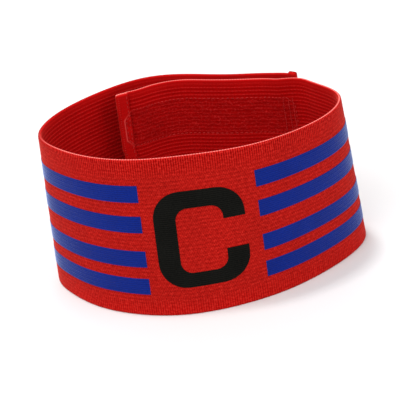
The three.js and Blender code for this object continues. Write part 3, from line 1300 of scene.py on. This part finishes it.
@dataclass
class Fastener:
    """The touch fastener: two strips of loops on the inner end, two of hooks inside the tail."""

    bench: Bench
    gap: float = 0.3
    pile_tape: float = 0.6
    pile: float = 1.05
    pile_step: float = 0.6
    pile_start: float = -0.1
    pile_round: float = 1.6
    pile_level: float = 0.85
    pile_tufts: float = 0.12
    hook_tape: float = 0.5
    hook_height: float = 0.95
    hook_pitch: float = 1.5
    hook_width: float = 0.3
    hook_root: float = 0.05
    hook_lean: float = 65.0
    hook_reach: float = 0.2
    hook_margin: float = 0.8
    hook_first: float = 1.2
    hook_last: float = 1.0
    tip_length: float = 0.57

    def _tape(self, span: tuple[float, float], row: Row, step: float) -> bmesh.types.BMesh:
        """A flat sheet with the outline of a fastener strip.

        Args:
            span: Where it starts and ends.
            row: Which row it is in.
            step: How far apart its points are.

        Returns:
            The sheet, at no height.
        """
        elastic = self.bench.elastic
        cut = elastic.strip_chamfer
        columns = even_steps([span[0], span[0] + cut, span[1] - cut, span[1]], step)
        rows = round(elastic.strip_height / step)
        bm = blank(len(columns) - 1, rows)
        base = elastic.strip_base(row)
        for vert in bm.verts:
            s = columns[round(vert.co.x)]
            trim = max(0.0, cut - min(s - span[0], span[1] - s))
            share = vert.co.z / rows
            vert.co = (s, 0, base + trim + share * (elastic.strip_height - 2 * trim))
        return bm

    def loops(self, row: Row, finish: bpy.types.Material) -> bpy.types.Object:
        """Make a strip of loops: a tape with an uneven brushed pile.

        Args:
            row: Which row it is in.
            finish: The pile.

        Returns:
            The piece.
        """
        elastic = self.bench.elastic
        bm = self._tape(elastic.loop_strip_span(), row, self.pile_step)
        top = second_side(bm)
        places = np.array([v.co for v in top])
        tufts = Ripple(seed=21, wave_length=1.7).at(places[:, 0], places[:, 2])
        inside = elastic.inside_strip(places[:, 0], places[:, 2], elastic.loop_strip_span())
        rounded = smoothstep(inside, self.pile_start, self.pile_round)
        full = self.pile_tape + self.pile * rounded * (self.pile_level + self.pile_tufts * tufts)
        for vert, up in zip(top, full):
            vert.co.y = -float(up)
        bmesh.ops.recalc_face_normals(bm, faces=bm.faces)
        self.bench.lay(bm, lambda s, z: self.gap * 0.5 + elastic.height(s, z, Face.OUTER))
        name = f"{row.value}_loop_strip"
        return self.bench.bend(f"{name}_pile", bm, finish, "fastener_pile", [name])

    def _hook(self, bm: bmesh.types.BMesh, place: Matrix) -> None:
        """Add one hook: a stem and the tip that leans over from it.

        Args:
            bm: The mesh that it is added to.
            place: Its foot and its turn.
        """
        up = Matrix.Rotation(-math.pi / 2, 4, "X")
        stem = place @ Matrix.Translation((0, self.hook_height / 2 - self.hook_root, 0)) @ up
        over = place @ Matrix.Translation((self.hook_reach, self.hook_height - 2 * self.hook_root, 0))
        tip = over @ Matrix.Rotation(math.radians(self.hook_lean), 4, "Z") @ up
        wide, thin = self.hook_width / 2, self.hook_width / 3
        bmesh.ops.create_cone(bm, cap_ends=True, segments=5, radius1=wide, radius2=thin,
                              depth=self.hook_height, matrix=stem)
        bmesh.ops.create_cone(bm, cap_ends=True, segments=5, radius1=thin, radius2=thin / 2,
                              depth=self.tip_length, matrix=tip)

    def hooks(self, row: Row, finish: bpy.types.Material) -> bpy.types.Object:
        """Make a strip of hooks: a tape with rows of small bent stems.

        Args:
            row: Which row it is in.
            finish: The moulded nylon.

        Returns:
            The piece.
        """
        elastic = self.bench.elastic
        span = elastic.hook_strip_span()
        bm = self._tape(span, row, self.hook_pitch)
        bmesh.ops.translate(bm, verts=second_side(bm), vec=(0, self.hook_tape, 0))
        bmesh.ops.recalc_face_normals(bm, faces=bm.faces)
        low = elastic.strip_base(row) + self.hook_first
        high = elastic.strip_base(row) + elastic.strip_height - self.hook_last
        columns = np.arange(span[0] + self.hook_pitch, span[1] - self.hook_last, self.hook_pitch)
        places = []
        for count, s in enumerate(columns):
            for z in np.arange(low, high, self.hook_pitch):
                if elastic.inside_strip(np.array(s), np.array(z), span) > self.hook_margin:
                    turn = Matrix.Rotation(math.pi * (count % 2), 4, "Y")
                    places.append(Matrix.Translation((s, self.hook_tape, z)) @ turn)
        absorb(bm, scatter(self._hook, places))
        self.bench.lay(bm, lambda s, z: elastic.height(s, z, Face.INNER) - self.gap * 0.5)
        name = f"{row.value}_hook_strip"
        return self.bench.bend(f"{name}_hooks", bm, finish, "fastener_hooks", [name])

    def build(self, pile: bpy.types.Material, nylon: bpy.types.Material) -> None:
        """Make the four strips.

        Args:
            pile: The loops' finish.
            nylon: The hooks' finish.
        """
        for row in Row:
            self.loops(row, pile)
            self.hooks(row, nylon)


@dataclass
class Seam:
    """A run of stitches being sewn on one face of the elastic."""

    bench: Bench
    face: Face
    pitch: float = 2.2
    length: float = 1.5
    thread: float = 0.34
    lift: float = 0.1
    places: list[Matrix] = field(default_factory=list)

    def stitch(self, s: float, z: float, angle: float, length: float | None = None) -> None:
        """Sew one stitch.

        Args:
            s: Its middle along the strip.
            z: Its middle's height.
            angle: Its direction, counted from along the strip.
            length: Its length, unless it is the seam's own.
        """
        elastic, place = self.bench.elastic, (np.array([s]), np.array([z]))
        n = float(elastic.height(*place, self.face)[0]) + self.face.value * self.lift
        drawn = s - float(elastic.slip(*place)[0])
        turn = Matrix.Translation((drawn, -n, z)) @ Matrix.Rotation(math.pi / 2 - angle, 4, "Y")
        self.places.append(turn @ Matrix.Diagonal((self.thread, self.thread, length or self.length, 1)))

    def line(self, start: tuple[float, float], end: tuple[float, float]) -> None:
        """Sew a straight line of stitches.

        Args:
            start: Its first end, as s and z.
            end: Its other end.
        """
        run = Vector(end) - Vector(start)
        count = max(1, round(run.length / self.pitch))
        angle = math.atan2(run.y, run.x)
        for k in range(count):
            place = Vector(start) + run * (k + 0.5) / count
            self.stitch(place.x, place.y, angle)

    @staticmethod
    def _thread(bm: bmesh.types.BMesh, place: Matrix) -> None:
        """Add one stitch, a long bead, to a mesh."""
        bmesh.ops.create_uvsphere(bm, u_segments=6, v_segments=5, radius=0.5, matrix=place)

    def sewn(self) -> bmesh.types.BMesh:
        """All the stitches as one flat mesh."""
        return scatter(self._thread, self.places)

    def outline(self, corners: Sequence[tuple[float, float]]) -> None:
        """Sew a closed line through the corners, each an s and a z."""
        for start, end in zip(corners, [*corners[1:], corners[0]]):
            self.line(start, end)


@dataclass
class Stitching:
    """Every seam: the hems, the fastener strips' outlines, and the bars that lock their ends."""

    bench: Bench
    margin: float = 1.3
    corner_cut: float = 0.8
    hem_line: float = 0.8
    hem_margin: float = 1.0
    bar_pitch: float = 0.9
    bar_margin: float = 2.2
    bar_places: tuple[float, ...] = (2.2, 4.2, 7.0)
    bar_turn: float = 0.35
    whip_pitch: float = 1.1
    whip_length: float = 0.6
    whip_turn: float = 0.25
    whip_inset: float = 0.5
    whip_thread: float = 0.3

    def _strip_outline(self, span: tuple[float, float], row: Row) -> list[tuple[float, float]]:
        """The seam that goes round a fastener strip, just inside its edge.

        Args:
            span: Where the seam starts and ends, with its margin.
            row: Which row of the fastener it is in.

        Returns:
            Its corners, each an s and a z.
        """
        elastic = self.bench.elastic
        m, cut = self.margin, elastic.strip_chamfer * self.corner_cut
        left, right = span[0] + m, span[1] - m
        low = elastic.strip_base(row) + m
        high = low + elastic.strip_height - 2 * m
        return [(left, low + cut), (left + cut, low), (right - cut, low), (right, low + cut),
                (right, high - cut), (right - cut, high), (left + cut, high), (left, high - cut)]

    def _hem(self, seam: Seam, s: float) -> None:
        """Sew a line across the strip."""
        width = self.bench.loop.band_width
        seam.line((s, self.hem_margin), (s, width - self.hem_margin))

    def _bars(self, seam: Seam, span: tuple[float, float]) -> None:
        """Sew the short dense bars across the far end of the loop strips' seam.

        Args:
            seam: The seam that they are added to.
            span: Where the loop strips' seam starts and ends.
        """
        elastic = self.bench.elastic
        for row in Row:
            low = elastic.strip_base(row) + self.bar_margin
            high = low + elastic.strip_height - 2 * self.bar_margin
            for k, run in enumerate(self.bar_places):
                angle = math.pi / 2 + self.bar_turn * (k - 1)
                for z in np.arange(low, high, self.bar_pitch):
                    seam.stitch(span[0] + run, float(z), angle, self.bar_pitch)

    def build(self, finish: bpy.types.Material) -> None:
        """Sew every seam.

        Args:
            finish: The thread.
        """
        elastic, loop = self.bench.elastic, self.bench.loop
        tail = elastic.tail_hem - loop.tail_reach - self.hem_line
        tuck = loop.tuck_reach - elastic.tuck_hem + self.hem_line
        for face in Face:
            seam = Seam(self.bench, face)
            for row in Row:
                for span in (elastic.loop_seam_span(), elastic.hook_strip_span()):
                    seam.outline(self._strip_outline(span, row))
            for s in (tail, tuck):
                self._hem(seam, s)
            self._bars(seam, elastic.loop_seam_span())
            self.bench.bend(f"{face.name.lower()}_stitches", seam.sewn(), finish, "elastic")
        self._overlock(finish)

    def _overlock(self, finish: bpy.types.Material) -> None:
        """Whip the inner end's fold with short stitches.

        Args:
            finish: The thread.
        """
        seam = Seam(self.bench, Face.INNER, thread=self.whip_thread)
        loop = self.bench.loop
        for z in np.arange(1.5 * self.hem_margin, loop.band_width - self.hem_margin, self.whip_pitch):
            seam.stitch(loop.tuck_reach - self.whip_inset, float(z), self.whip_turn, self.whip_length)
        self.bench.bend("whipped_end", seam.sewn(), finish, "elastic")


@dataclass(frozen=True)
class Lamp:
    """A soft square lamp: its place and the length of its side in metres, its power in watts."""

    name: str
    place: tuple[float, float, float]
    size: float
    power: float

    def hang(self) -> None:
        """Hang the lamp so that it looks at the part."""
        light = bpy.data.lights.new(self.name, "AREA")
        light.shape, light.size, light.energy = "SQUARE", self.size, self.power
        lamp = bpy.data.objects.new(self.name, light)
        lamp.location = self.place
        lamp.rotation_euler = Vector(self.place).to_track_quat("Z", "Y").to_euler()
        bpy.context.scene.collection.objects.link(lamp)


@dataclass
class Studio:
    """The pale floor, the soft lights and the camera."""

    loop: OvalLoop
    distance: float = 562.5
    elevation: float = 28.9
    roll: float = -8.59
    aim: tuple[float, float, float] = (-1.0, -14.2, 35.0)
    lens: float = 117.9
    floor_size: float = 3.0
    sky: float = 0.63
    lamps: tuple[Lamp, ...] = (
        Lamp("key", (-0.5, -0.7, 1.1), 0.8, 8.0),
        Lamp("fill", (0.95, -0.4, 0.6), 0.9, 4.4),
        Lamp("side", (-1.0, -0.15, 0.45), 0.8, 1.3),
        Lamp("back", (-0.1, 0.9, 1.0), 0.8, 4.0),
        Lamp("top", (-0.13, 0.14, 1.3), 0.14, 7.0),
    )

    def floor(self, finish: bpy.types.Material) -> None:
        """Lay the floor.

        Args:
            finish: Its white.
        """
        bm = bmesh.new()
        bmesh.ops.create_grid(bm, x_segments=8, y_segments=8, size=self.floor_size)
        mesh = bpy.data.meshes.new("studio_floor")
        bm.to_mesh(mesh)
        bm.free()
        mesh.materials.append(finish)
        floor = bpy.data.objects.new("studio_floor", mesh)
        bpy.context.scene.collection.objects.link(floor)

    def light(self) -> None:
        """Light the part from a white sky and the lamps."""
        world = bpy.data.worlds.new("white_sky")
        world.use_nodes = True
        sky = world.node_tree.nodes["Background"]
        sky.inputs["Color"].default_value = (1, 1, 1, 1)
        sky.inputs["Strength"].default_value = self.sky
        scene = bpy.context.scene
        scene.world = world
        scene.view_settings.view_transform = "Standard"
        for lamp in self.lamps:
            lamp.hang()

    def camera(self) -> None:
        """Set the camera up at the photograph's angle."""
        tilt, roll = math.radians(self.elevation), math.radians(self.roll)
        ahead = Vector((0, math.cos(tilt), -math.sin(tilt)))
        right = Vector((1, 0, 0))
        up = right.cross(ahead)
        across = right * math.cos(roll) + up * math.sin(roll)
        above = up * math.cos(roll) - right * math.sin(roll)
        place = (Vector(self.aim) - ahead * self.distance) * MM + Vector(self.loop.shift)
        data = bpy.data.cameras.new("photo_camera")
        data.lens, data.sensor_width = self.lens, 36.0
        data.clip_start, data.clip_end = 0.01, 50.0
        camera = bpy.data.objects.new("photo_camera", data)
        turn = Matrix((across, above, -ahead)).transposed().to_4x4()
        camera.matrix_world = Matrix.Translation(place) @ turn
        bpy.context.scene.collection.objects.link(camera)
        bpy.context.scene.camera = camera


def main() -> None:
    """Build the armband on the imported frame, dress it and light it."""
    logging.basicConfig(level=logging.INFO, format="%(message)s")
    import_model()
    loop = OvalLoop()
    elastic = Elastic(loop)
    bench = Bench(loop, elastic)
    studio = Studio(loop)
    studio.camera()
    band = Band(bench)
    sleeve = band.build(KnitFinish().build())
    Print(bench).build(BLUE_PRINT.build(), BLACK_PRINT.build())
    Fastener(bench).build(PileFinish().build(), HookFinish().build())
    Stitching(bench).build(ThreadFinish().build())
    band.declare(sleeve)
    studio.floor(FloorFinish().build())
    studio.light()


if __name__ == "__main__":
    main()
